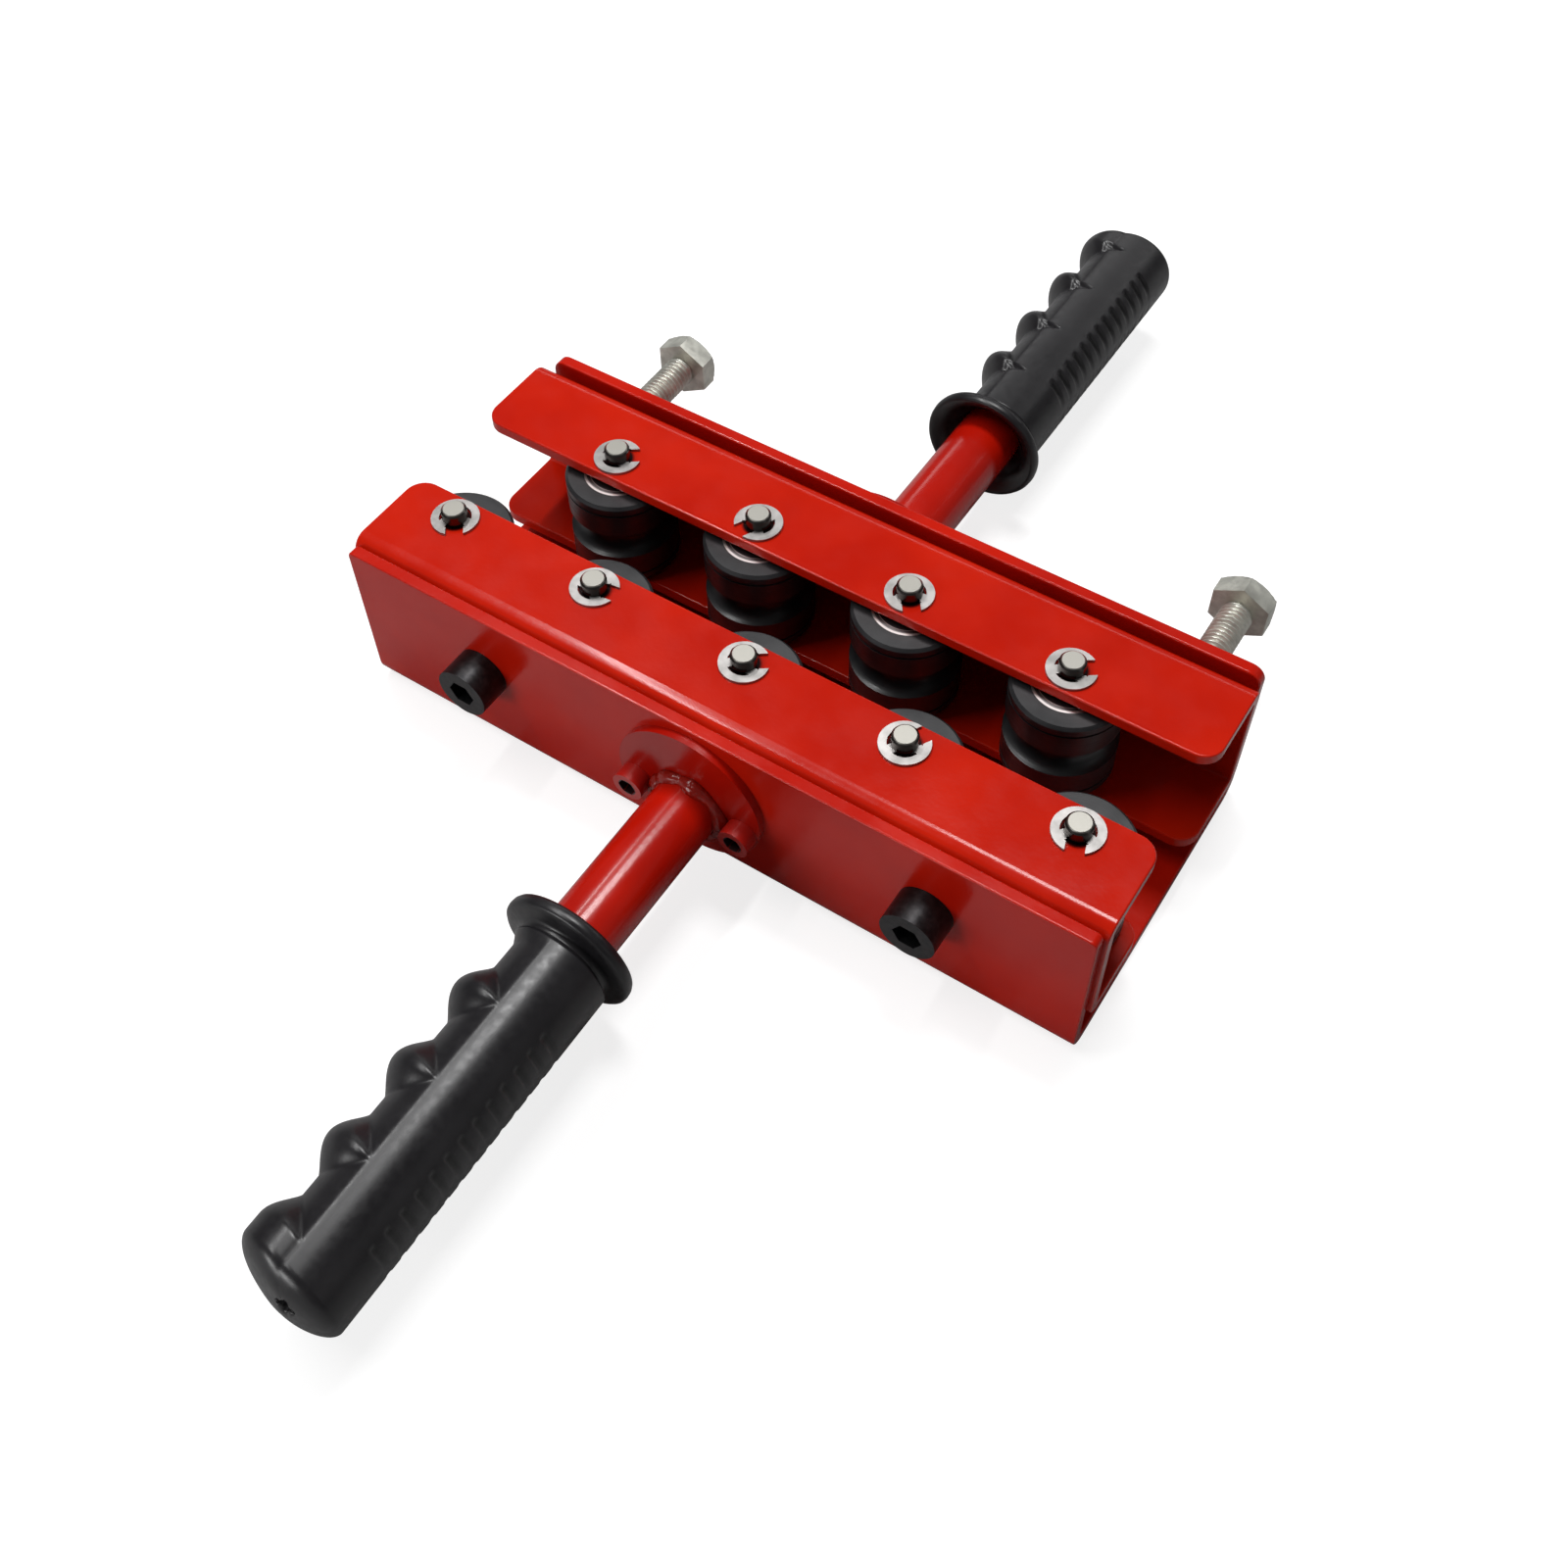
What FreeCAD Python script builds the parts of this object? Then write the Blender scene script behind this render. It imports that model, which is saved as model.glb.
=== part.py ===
"""Two-handled straightener for wire and thin tube, as a parametric assembly.

A folded channel holds a fixed row of grooved rollers in its front wall.  A second row sits in a
carriage that slides across the channel, moved by two screws in the rear wall.  The row of five and
the row of four are staggered, and the wire is drawn between them along X.

Millimetres.  Origin: centre of the channel's underside.  +X along the wire, +Y to the adjusting
screws, +Z up.
"""
import FreeCAD, Part
import Sketcher
import math
import os
import re

from FreeCAD import Placement, Rotation, Vector

doc = FreeCAD.newDocument("straightener")

# ---------------------------------------------------------------- sizes

SIZES = (
    # folded sheet
    ("sheet_thickness", 3.0, "all folded sheet"),
    ("edge_round", 0.4, "broken edges under the paint"),
    ("channel_length", 190.0, "outer channel along X"),
    ("channel_width", 80.0, "over the outer channel's walls"),
    ("channel_height", 44.4, "outer channel's wall"),
    ("channel_bend", 5.0, "outside radius of its bends"),
    ("front_corner", 1.5, "front wall's top corners"),
    ("rear_corner", 3.5, "rear wall's top corners"),
    ("carrier_length", 192.0, "both inner channels along X"),
    ("carrier_height", 34.0, "over the inner channels' flanges"),
    ("carrier_depth", 24.1, "web's outer face to the flange's edge"),
    ("carrier_bend", 4.0, "outside radius of their bends"),
    ("carrier_corner", 5.0, "flange corners"),
    ("carrier_lift", 8.1, "free height under the inner channels"),
    # pins and their clips
    ("roller_pitch", 40.0, "roller to roller in one row"),
    ("carriage_gap", 2.3, "rear wall to the rear carriage, as the tool is set"),
    ("pin_diameter", 6.0, "roller pins"),
    ("pin_edge", 6.2, "pin's axis to the flange's edge"),
    ("pin_stand", 3.6, "pin's end above the flange"),
    ("pin_chamfer", 0.6, "ends of the pins"),
    ("clip_neck", 5.0, "groove diameter under a clip"),
    ("clip_diameter", 11.3, "over an E-clip"),
    ("clip_relief", 7.6, "inside diameter between its lugs"),
    ("clip_thickness", 0.7, "E-clip"),
    ("clip_mouth", 4.1, "opening of an E-clip"),
    ("clip_lug", 2.4, "width of a lug"),
    # rollers and bearings
    ("roller_diameter", 26.0, "rims"),
    ("roller_chamfer", 0.7, "rim corners"),
    ("groove_round", 4.0, "radius of the wire groove"),
    ("groove_floor", 10.2, "roller's axis to the groove's bottom"),
    ("line_depth", 0.5, "turned line near each end"),
    ("line_width", 0.6, "turned line near each end"),
    ("line_offset", 2.4, "its distance from the roller's end"),
    ("bearing_diameter", 17.0, "outer ring"),
    ("bearing_width", 6.0, "both rings"),
    ("inner_ring_diameter", 9.0, "over the inner ring"),
    ("outer_ring_bore", 14.0, "inside the outer ring"),
    ("ball_diameter", 3.0, "bearing balls"),
    ("shield_thickness", 0.3, "dust shield"),
    ("shield_inset", 0.2, "shield behind the ring's face"),
    ("washer_diameter", 8.8, "between bearing and flange"),
    ("washer_thickness", 1.0, "between bearing and flange"),
    ("spacer_diameter", 8.4, "sleeve between the inner rings"),
    ("roller_waist_bore", 14.6, "roller's bore between its bearings"),
    # fastening of the front carrier
    ("carrier_screw_place", 58.4, "from the middle along X"),
    ("carrier_screw_height", 25.6, "above the underside"),
    ("thread_diameter", 8.0, "large screws"),
    ("carrier_screw_length", 12.0, "under the head"),
    ("cap_head_diameter", 13.0, "large socket head"),
    ("cap_head_height", 8.0, "large socket head"),
    ("cap_socket", 6.0, "across its hexagon"),
    ("cap_socket_depth", 4.5, "its hexagon"),
    ("nut_width", 13.0, "large nuts, across flats"),
    ("nut_height", 6.5, "large nuts"),
    # adjusting screws
    ("bolt_edge", 15.8, "from the channel's end"),
    ("bolt_height", 24.6, "above the underside"),
    ("bolt_length", 40.0, "under the head"),
    ("bolt_head_width", 14.0, "hexagon head, across flats"),
    ("bolt_head_height", 5.3, "hexagon head"),
    ("bolt_tip", 2.4, "journal beyond its clip"),
    ("end_play", 0.1, "journal's play along its axis"),
    # handles
    ("handle_height", 20.5, "axis above the underside"),
    ("tube_diameter", 16.0, "handle tube"),
    ("tube_wall", 2.0, "handle tube"),
    ("flange_diameter", 37.0, "round plate"),
    ("flange_rise", 3.5, "plate's centre above the tube's axis"),
    ("flange_thickness", 2.0, "round plate"),
    ("weld_leg", 3.0, "fillet weld"),
    ("weld_edge", 0.3, "its edge on the tube"),
    ("small_thread", 5.0, "plate's screws"),
    ("small_spacing", 28.0, "between the plate's two screws"),
    ("small_head_diameter", 7.6, "plate's screws"),
    ("small_head_height", 4.0, "plate's screws"),
    ("small_socket", 4.0, "across its hexagon"),
    ("small_socket_depth", 2.2, "its hexagon"),
    ("front_small_length", 10.0, "under the head, through wall and web"),
    ("rear_small_length", 5.0, "under the head, in the wall only"),
    # grips
    ("front_grip_gap", 41.5, "plate to the front grip"),
    ("rear_grip_gap", 46.0, "plate to the rear grip"),
    ("grip_length", 90.0, "over the grip"),
    ("grip_end", 8.0, "closed end beyond the tube"),
    ("collar_diameter", 31.2, "guard collar"),
    ("collar_thickness", 4.0, "guard collar"),
    ("collar_round", 1.8, "its rims"),
    ("palm_radius", 10.8, "grip's round body"),
    ("palm_offset", 1.5, "body's axis off the tube's, to the palm"),
    ("dome_length", 8.0, "rounded end"),
    ("finger_start", 24.5, "grip's mouth to the first swell"),
    ("finger_pitch", 19.0, "swell to swell"),
    ("finger_reach", 13.4, "tube's axis to a swell's top"),
    ("finger_height", 8.8, "half width of a swell, outwards"),
    ("finger_spread", 10.4, "half width of a swell, round the grip"),
    ("finger_half", 8.0, "half length of a swell"),
    # fits, all on the radius
    ("running_clearance", 0.05, "pins, screws and journals in their holes"),
    ("seat_clearance", 0.02, "pressed and glued fits"),
    ("screw_clearance", 0.3, "screws in plain holes and beside the weld"),
)

sheet = doc.addObject("Spreadsheet::Sheet", "sizes")
for row, (alias, number, meaning) in enumerate(SIZES, start=1):
    sheet.set("A%d" % row, alias)
    sheet.set("B%d" % row, str(number))
    sheet.set("C%d" % row, meaning)
    sheet.setAlias("B%d" % row, alias)
doc.recompute()

ALIAS = re.compile(r"\b(%s)\b" % "|".join(alias for alias, number, meaning in SIZES))

# Places worked out from the driving sizes, as expressions of the sheet.
WALL = "(channel_width / 2)"
WALL_INSIDE = "(channel_width / 2 - sheet_thickness)"
FRONT_WEB = "(-channel_width / 2 + sheet_thickness)"
FRONT_ROW = "(%s + carrier_depth - pin_edge)" % FRONT_WEB
REAR_WEB = "(%s - carriage_gap)" % WALL_INSIDE
REAR_ROW = "(%s - carrier_depth + pin_edge)" % REAR_WEB
CARRIER_BOTTOM = "(sheet_thickness + carrier_lift)"
CARRIER_TOP = "(sheet_thickness + carrier_lift + carrier_height)"
LOWER_FLANGE_TOP = "(%s + sheet_thickness)" % CARRIER_BOTTOM
ROLLER_BOTTOM = "(%s + washer_thickness)" % LOWER_FLANGE_TOP
ROLLER_HEIGHT = "(carrier_height - 2 * sheet_thickness - 2 * washer_thickness)"
UPPER_BEARING = "(%s + %s - bearing_width)" % (ROLLER_BOTTOM, ROLLER_HEIGHT)
PIN_HOLE = "(pin_diameter + 2 * running_clearance)"
THREAD_HOLE = "(thread_diameter + 2 * running_clearance)"
SCREW_HOLE = "(thread_diameter + 2 * screw_clearance)"
SMALL_THREAD_HOLE = "(small_thread + 2 * running_clearance)"
PLATE_FACE = "(channel_width / 2 + flange_thickness)"
TUBE_LENGTH = "(%s + grip_length - grip_end)"
BALL_CIRCLE = "((inner_ring_diameter + outer_ring_bore) / 4)"
BOLT_PLACE = "(channel_length / 2 - bolt_edge)"
BALLS_PER_BEARING = 7
FINGER_SWELLS = 4

FRONT_ROLLERS = (-2, -1, 0, 1, 2)
REAR_ROLLERS = (-1.5, -0.5, 0.5, 1.5)
# Where each upper clip's mouth points, in degrees from +X; they were pushed on by hand.
FRONT_CLIP_TURNS = (-54, 8, 35, 60, -72)
REAR_CLIP_TURNS = (35, -118, -54, 35)
LOWER_CLIP_TURN = 90
CLIP_LUG_TURNS = (58, 180, -58)

UPRIGHT = Rotation()
TO_REAR = Rotation(Vector(1, 0, 0), -90)
TO_FRONT = Rotation(Vector(1, 0, 0), 90)

nodes = []


# ---------------------------------------------------------------- tools of the draughtsman

def formula(text):
    """An expression in which each size is read from the sheet."""
    return ALIAS.sub(r"sizes.\1", text)


def value(text):
    """What an expression comes to with the sheet's present sizes."""
    return float(sheet.evalExpression(formula(text)))


def bind(thing, **properties):
    """Ties properties of an object to expressions."""
    for name, text in properties.items():
        thing.setExpression(name, formula(text))
    return thing


def place(thing, x="0", y="0", z="0", turn=UPRIGHT):
    """Puts an object at three expressions, turned as given."""
    thing.Placement = Placement(Vector(), turn)
    for name, text in (("x", x), ("y", y), ("z", z)):
        thing.setExpression("Placement.Base." + name, formula(text))
    return thing


def node(thing, label):
    """Keeps an object as one named sub-part."""
    thing.Label = label
    nodes.append(thing)
    return thing


def cylinder(name, diameter, length, at=("0", "0", "0"), turn=UPRIGHT):
    solid = doc.addObject("Part::Cylinder", name)
    bind(solid, Radius="(%s) / 2" % diameter, Height=length)
    return place(solid, *at, turn=turn)


def hexagon(name, width, height, at=("0", "0", "0"), turn=UPRIGHT):
    """A hexagonal prism, its width measured across the flats."""
    solid = doc.addObject("Part::Prism", name)
    solid.Polygon = 6
    bind(solid, Circumradius="(%s) / sqrt(3)" % width, Height=height)
    return place(solid, *at, turn=turn)


def fuse(name, *solids):
    whole = doc.addObject("Part::MultiFuse", name)
    whole.Shapes = list(solids)
    return whole


def cut(name, base, *tools):
    result = doc.addObject("Part::Cut", name)
    result.Base = base
    result.Tool = tools[0] if len(tools) == 1 else fuse(name + "_tools", *tools)
    return result


def copies(name, piece, places):
    """A group of separate solids: one piece repeated at places (x, y, z, turn)."""
    group = doc.addObject("Part::Compound", name)
    links = []
    for x, y, z, turn in places:
        link = doc.addObject("App::Link", name + "_copy")
        link.LinkedObject = piece
        links.append(place(link, x, y, z, turn))
    group.Links = links
    return group


def fix_point(sketch, element, point, u, v):
    """Dimensions one point of a sketch from the sketch's axes."""
    for kind, text, axis in (("DistanceX", u, -2), ("DistanceY", v, -1)):
        if text == "0":
            sketch.addConstraint(Sketcher.Constraint("PointOnObject", element, point, axis))
        else:
            number = sketch.addConstraint(Sketcher.Constraint(kind, -1, 1, element, point, value(text)))
            sketch.setExpression("Constraints[%d]" % number, formula(text))


def new_sketch(body, plane, name):
    """An empty sketch on one of the body's own origin planes."""
    sketch = body.newObject("Sketcher::SketchObject", name)
    planes = [feature for feature in body.Origin.OriginFeatures if feature.Role == plane]
    sketch.AttachmentSupport = [(planes[0], "")]
    sketch.MapMode = "FlatFace"
    return sketch


def outline(body, plane, name, points):
    """A closed outline of straight lines through dimensioned corners."""
    sketch = new_sketch(body, plane, name)
    spots = [Vector(value(u), value(v), 0) for u, v in points]
    count = len(points)
    for i in range(count):
        sketch.addGeometry(Part.LineSegment(spots[i], spots[(i + 1) % count]), False)
    for i in range(count):
        sketch.addConstraint(Sketcher.Constraint("Coincident", i, 2, (i + 1) % count, 1))
    for i, (u, v) in enumerate(points):
        fix_point(sketch, i, 1, u, v)
    return sketch


def circles(body, plane, name, centres, diameter):
    """Circles of one diameter at dimensioned centres."""
    sketch = new_sketch(body, plane, name)
    for i, (u, v) in enumerate(centres):
        middle = Vector(value(u), value(v), 0)
        sketch.addGeometry(Part.Circle(middle, Vector(0, 0, 1), value(diameter) / 2), False)
        fix_point(sketch, i, 3, u, v)
        number = sketch.addConstraint(Sketcher.Constraint("Diameter", i, value(diameter)))
        sketch.setExpression("Constraints[%d]" % number, formula(diameter))
    return sketch


def drill(body, plane, name, centres, diameter, side="Symmetric", turned_round=False):
    """Round holes through the body, square to one of its planes."""
    pocket = body.newObject("PartDesign::Pocket", name)
    pocket.Profile = circles(body, plane, name + "_sketch", centres, diameter)
    pocket.SideType = side
    pocket.Type = "ThroughAll"
    pocket.Reversed = turned_round
    return pocket


def extrude(body, plane, name, points, length):
    """A bar of the outlined section, as long on either side of its plane."""
    pad = body.newObject("PartDesign::Pad", name)
    pad.Profile = outline(body, plane, name + "_section", points)
    pad.SideType = "Symmetric"
    return bind(pad, Length=length)


def round_edges(body, name, radius, points):
    """Rounds the edges whose middles lie nearest to the given points."""
    doc.recompute()
    edges = body.Tip.Shape.Edges
    picked = []
    for point in points:
        spot = Vector(*[value(text) for text in point])
        gaps = [edge.CenterOfMass.distanceToPoint(spot) for edge in edges]
        picked.append("Edge%d" % (gaps.index(min(gaps)) + 1))
    fillet = body.newObject("PartDesign::Fillet", name)
    fillet.Base = (fillet.BaseFeature, picked)
    return bind(fillet, Radius=radius)


def soften(body, name):
    """Breaks every edge of a piece of folded sheet, as it is under its paint."""
    doc.recompute()
    fillet = body.newObject("PartDesign::Fillet", name)
    fillet.Base = (fillet.BaseFeature, ["Edge1"])
    fillet.UseAllEdges = True
    return bind(fillet, Radius="edge_round")


def turned(name, points):
    """A piece turned on a lathe from a half section (radius, height) about its own Z axis."""
    body = doc.addObject("PartDesign::Body", name)
    revolution = body.newObject("PartDesign::Revolution", name + "_turning")
    revolution.Profile = outline(body, "XZ_Plane", name + "_half_section", points)
    revolution.ReferenceAxis = (revolution.Profile[0], ["V_Axis"])
    revolution.Angle = 360
    return body


def turned_groove(body, name, radius_at, height, diameter):
    """A round-bottomed groove about the body's Z axis."""
    groove = body.newObject("PartDesign::Groove", name)
    groove.Profile = circles(body, "XZ_Plane", name + "_sketch", [(radius_at, height)], diameter)
    groove.ReferenceAxis = (groove.Profile[0], ["V_Axis"])
    groove.Angle = 360
    return body


def ring_section(bore, diameter, height):
    """Half section of a plain ring that stands on its origin."""
    inner = "((%s) / 2)" % bore
    outer = "((%s) / 2)" % diameter
    return [(inner, "0"), (outer, "0"), (outer, height), (inner, height)]


def along_x(number, pitch):
    """The place of a numbered copy, counted in pitches from the middle."""
    return "(%s * %s)" % (number, pitch)


# ---------------------------------------------------------------- folded sheet

def outer_channel():
    """The U-shaped body of the tool, open at the top and at both ends."""
    body = doc.addObject("PartDesign::Body", "outer_channel")
    section = [
        ("-" + WALL, "0"), (WALL, "0"), (WALL, "channel_height"), (WALL_INSIDE, "channel_height"),
        (WALL_INSIDE, "sheet_thickness"), ("-" + WALL_INSIDE, "sheet_thickness"),
        ("-" + WALL_INSIDE, "channel_height"), ("-" + WALL, "channel_height"),
    ]
    extrude(body, "YZ_Plane", "channel", section, "channel_length")
    middle = "(channel_width / 2 - sheet_thickness / 2)"
    for name, radius, y in (("front", "front_corner", "-" + middle), ("rear", "rear_corner", middle)):
        ends = [(along_x(s, "channel_length / 2"), y, "channel_height") for s in (-1, 1)]
        round_edges(body, name + "_corners", radius, ends)
    round_edges(body, "outer_bends", "channel_bend", [("0", "-" + WALL, "0"), ("0", WALL, "0")])
    round_edges(body, "inner_bends", "channel_bend - sheet_thickness",
                [("0", "-" + WALL_INSIDE, "sheet_thickness"), ("0", WALL_INSIDE, "sheet_thickness")])
    soften(body, "channel_edges")
    carrier_screws = [(along_x(s, "carrier_screw_place"), "carrier_screw_height") for s in (-1, 1)]
    handle_screws = [(along_x(s, "small_spacing / 2"), "handle_height") for s in (-1, 1)]
    bolts = [(along_x(s, BOLT_PLACE), "bolt_height") for s in (-1, 1)]
    drill(body, "XZ_Plane", "carrier_screw_holes", carrier_screws, SCREW_HOLE, "One side", True)
    drill(body, "XZ_Plane", "bolt_holes", bolts, SCREW_HOLE, "One side", False)
    drill(body, "XZ_Plane", "handle_screw_holes", handle_screws, SMALL_THREAD_HOLE)
    return node(body, "outer_channel")


def carrier(name, web, inwards, rollers, row):
    """A C-shaped channel that holds one row of pins between its flanges."""
    body = doc.addObject("PartDesign::Body", name)

    def from_web(distance):
        return "(%s + %d * (%s))" % (web, inwards, distance)

    top_inside = "(%s - sheet_thickness)" % CARRIER_TOP
    face, edge, inside = from_web("0"), from_web("carrier_depth"), from_web("sheet_thickness")
    section = [
        (face, CARRIER_BOTTOM), (edge, CARRIER_BOTTOM), (edge, LOWER_FLANGE_TOP),
        (inside, LOWER_FLANGE_TOP), (inside, top_inside), (edge, top_inside),
        (edge, CARRIER_TOP), (face, CARRIER_TOP),
    ]
    extrude(body, "YZ_Plane", name + "_channel", section, "carrier_length")
    flanges = ["(%s + sheet_thickness / 2)" % z for z in (CARRIER_BOTTOM, top_inside)]
    corners = [(along_x(s, "carrier_length / 2"), edge, z) for s in (-1, 1) for z in flanges]
    round_edges(body, name + "_corners", "carrier_corner", corners)
    round_edges(body, name + "_outer_bends", "carrier_bend",
                [("0", face, CARRIER_BOTTOM), ("0", face, CARRIER_TOP)])
    round_edges(body, name + "_inner_bends", "carrier_bend - sheet_thickness",
                [("0", inside, LOWER_FLANGE_TOP), ("0", inside, top_inside)])
    soften(body, name + "_edges")
    pins = [(along_x(i, "roller_pitch"), row) for i in rollers]
    drill(body, "XY_Plane", name + "_pin_holes", pins, PIN_HOLE)
    return body


def front_carrier():
    """Fixed inside the front wall by two large screws and the handle's two small ones."""
    body = carrier("front_carrier", FRONT_WEB, 1, FRONT_ROLLERS, FRONT_ROW)
    large = [(along_x(s, "carrier_screw_place"), "carrier_screw_height") for s in (-1, 1)]
    small = [(along_x(s, "small_spacing / 2"), "handle_height") for s in (-1, 1)]
    drill(body, "XZ_Plane", "front_carrier_large_holes", large, SCREW_HOLE)
    drill(body, "XZ_Plane", "front_carrier_small_holes", small, SMALL_THREAD_HOLE)
    return node(body, "front_carrier")


def rear_carriage():
    """Slides across the channel, carried on the journals of the adjusting screws."""
    body = carrier("rear_carriage", REAR_WEB, -1, REAR_ROLLERS, REAR_ROW)
    journals = [(along_x(s, BOLT_PLACE), "bolt_height") for s in (-1, 1)]
    drill(body, "XZ_Plane", "rear_carriage_journal_holes", journals, PIN_HOLE)
    return node(body, "rear_carriage")


# ---------------------------------------------------------------- pins, clips, washers

def pin_piece():
    """A plain steel pin with a clip groove near each end, standing on its lower end."""
    length = "(carrier_height + 2 * pin_stand)"
    radius, neck = "(pin_diameter / 2)", "(clip_neck / 2)"
    rim = "(pin_diameter / 2 - pin_chamfer)"
    groove = "(clip_thickness + end_play)"
    low, high = "(pin_stand - %s)" % groove, "(%s - pin_stand)" % length
    return turned("pin", [
        ("0", "0"), (rim, "0"), (radius, "pin_chamfer"), (radius, low), (neck, low),
        (neck, "pin_stand"), (radius, "pin_stand"), (radius, high), (neck, high),
        (neck, "(%s + %s)" % (high, groove)), (radius, "(%s + %s)" % (high, groove)),
        (radius, "(%s - pin_chamfer)" % length), (rim, length), ("0", length),
    ])


def clip_piece():
    """An E-clip that lies on its origin with its mouth towards +X."""
    plate = cylinder("clip_plate", "clip_diameter", "clip_thickness")
    relief = cylinder("clip_relief_hole", "clip_relief", "clip_thickness")
    lugs = []
    for i, angle in enumerate(CLIP_LUG_TURNS):
        lug = doc.addObject("Part::Box", "clip_lug_%d" % i)
        bind(lug, Length="(clip_relief + clip_diameter) / 4", Width="clip_lug", Height="clip_thickness")
        along = math.radians(angle)
        sideways = ("clip_lug / 2 * %.6f" % math.sin(along), "clip_lug / 2 * %.6f" % -math.cos(along))
        lugs.append(place(lug, *sideways, turn=Rotation(Vector(0, 0, 1), angle)))
    neck = cylinder("clip_neck_hole", "clip_neck + 2 * seat_clearance", "clip_thickness")
    mouth = doc.addObject("Part::Box", "clip_mouth_slot")
    bind(mouth, Length="clip_diameter", Width="clip_mouth", Height="clip_thickness")
    place(mouth, y="-clip_mouth / 2")
    ring = cut("clip_ring", plate, relief)
    return cut("clip", fuse("clip_blank", ring, *lugs), neck, mouth)


def row_fittings(row_name, rollers, row, clip_turns, pin, clip, washer, inner_ring, spacer):
    """Everything that stays on the pins of one row while the rollers turn."""
    at = [along_x(i, "roller_pitch") for i in rollers]
    pins = [(x, row, "(%s - pin_stand)" % CARRIER_BOTTOM, UPRIGHT) for x in at]
    lower = [(x, row, "(%s - clip_thickness)" % CARRIER_BOTTOM, Rotation(Vector(0, 0, 1), LOWER_CLIP_TURN))
             for x in at]
    upper = [(x, row, CARRIER_TOP, Rotation(Vector(0, 0, 1), turn)) for x, turn in zip(at, clip_turns)]
    washer_heights = (LOWER_FLANGE_TOP, "(%s - sheet_thickness - washer_thickness)" % CARRIER_TOP)
    washers = [(x, row, z, UPRIGHT) for x in at for z in washer_heights]
    rings = [(x, row, z, UPRIGHT) for x in at for z in (ROLLER_BOTTOM, UPPER_BEARING)]
    spacers = [(x, row, "(%s + bearing_width)" % ROLLER_BOTTOM, UPRIGHT) for x in at]
    node(copies(row_name + "_pins", pin, pins), row_name + "_pins")
    node(copies(row_name + "_clips", clip, lower + upper), row_name + "_clips")
    node(copies(row_name + "_washers", washer, washers), row_name + "_washers")
    node(copies(row_name + "_inner_rings", inner_ring, rings), row_name + "_inner_rings")
    node(copies(row_name + "_spacers", spacer, spacers), row_name + "_spacers")


# ---------------------------------------------------------------- rollers and bearings

def roller_body(name):
    """A turned roller with a round wire groove and a bearing seat in each end."""
    rim = "(roller_diameter / 2)"
    bevel = "(roller_diameter / 2 - roller_chamfer)"
    line = "(roller_diameter / 2 - line_depth)"
    seat = "(bearing_diameter / 2 + seat_clearance)"
    waist = "(roller_waist_bore / 2)"
    high = ROLLER_HEIGHT
    points = [
        (seat, "0"), (bevel, "0"), (rim, "roller_chamfer"),
        (rim, "line_offset"), (line, "line_offset"), (line, "(line_offset + line_width)"),
        (rim, "(line_offset + line_width)"), (rim, "(%s - line_offset - line_width)" % high),
        (line, "(%s - line_offset - line_width)" % high), (line, "(%s - line_offset)" % high),
        (rim, "(%s - line_offset)" % high), (rim, "(%s - roller_chamfer)" % high),
        (bevel, high), (seat, high), (seat, "(%s - bearing_width)" % high),
        (waist, "(%s - bearing_width)" % high), (waist, "bearing_width"), (seat, "bearing_width"),
    ]
    body = turned(name, points)
    return turned_groove(body, name + "_wire_groove", "(groove_floor + groove_round)",
                         "(%s / 2)" % high, "(2 * groove_round)")


def race(name, bore, diameter):
    """One bearing ring with the groove in which its balls run."""
    body = turned(name, ring_section(bore, diameter, "bearing_width"))
    return turned_groove(body, name + "_raceway", BALL_CIRCLE, "(bearing_width / 2)",
                         "(ball_diameter + 2 * running_clearance)")


def ball_set():
    """The balls of one bearing, evenly spaced."""
    ball = bind(doc.addObject("Part::Sphere", "ball"), Radius="ball_diameter / 2")
    places = []
    for i in range(BALLS_PER_BEARING):
        angle = 2 * math.pi * i / BALLS_PER_BEARING
        x, y = ["(%s * %.6f)" % (BALL_CIRCLE, part) for part in (math.cos(angle), math.sin(angle))]
        places.append((x, y, "(bearing_width / 2)", UPRIGHT))
    return copies("ball_set", ball, places)


def shield_piece():
    """A thin dust shield, held in the outer ring and just clear of the inner one."""
    bore = "(inner_ring_diameter + 2 * screw_clearance)"
    return turned("shield", ring_section(bore, "outer_ring_bore", "shield_thickness"))


def roller_with_bearings(name, number, row, outer_ring, shield, balls):
    """What turns about one pin: the roller, its outer rings with their shields, and the balls."""
    x = along_x(number, "roller_pitch")
    node(place(roller_body(name), x, row, ROLLER_BOTTOM), name)
    starts = (ROLLER_BOTTOM, UPPER_BEARING)
    rings = doc.addObject("Part::Compound", name + "_outer_rings")
    pieces = [copies(name + "_rings", outer_ring, [(x, row, z, UPRIGHT) for z in starts])]
    shields = ("shield_inset", "(bearing_width - shield_inset - shield_thickness)")
    places = [(x, row, "(%s + %s)" % (z, inset), UPRIGHT) for z in starts for inset in shields]
    pieces.append(copies(name + "_shields", shield, places))
    rings.Links = pieces
    node(rings, name + "_outer_rings")
    node(copies(name + "_balls", balls, [(x, row, z, UPRIGHT) for z in starts]), name + "_balls")


# ---------------------------------------------------------------- screws and nuts

def socket_screw(name, thread, length, head, head_height, socket, socket_depth):
    """A socket-head screw, head upwards, its bearing face on the origin plane."""
    shank = cylinder(name + "_shank", thread, length, ("0", "0", "-(%s)" % length))
    top = cylinder(name + "_head", head, head_height)
    key = hexagon(name + "_key", socket, socket_depth, ("0", "0", "%s - %s" % (head_height, socket_depth)))
    return cut(name, fuse(name + "_blank", shank, top), key)


def nut_piece():
    """A hexagon nut that stands on its origin."""
    blank = hexagon("nut_blank", "nut_width", "nut_height")
    return cut("nut", blank, cylinder("nut_bore", THREAD_HOLE, "nut_height"))


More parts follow.
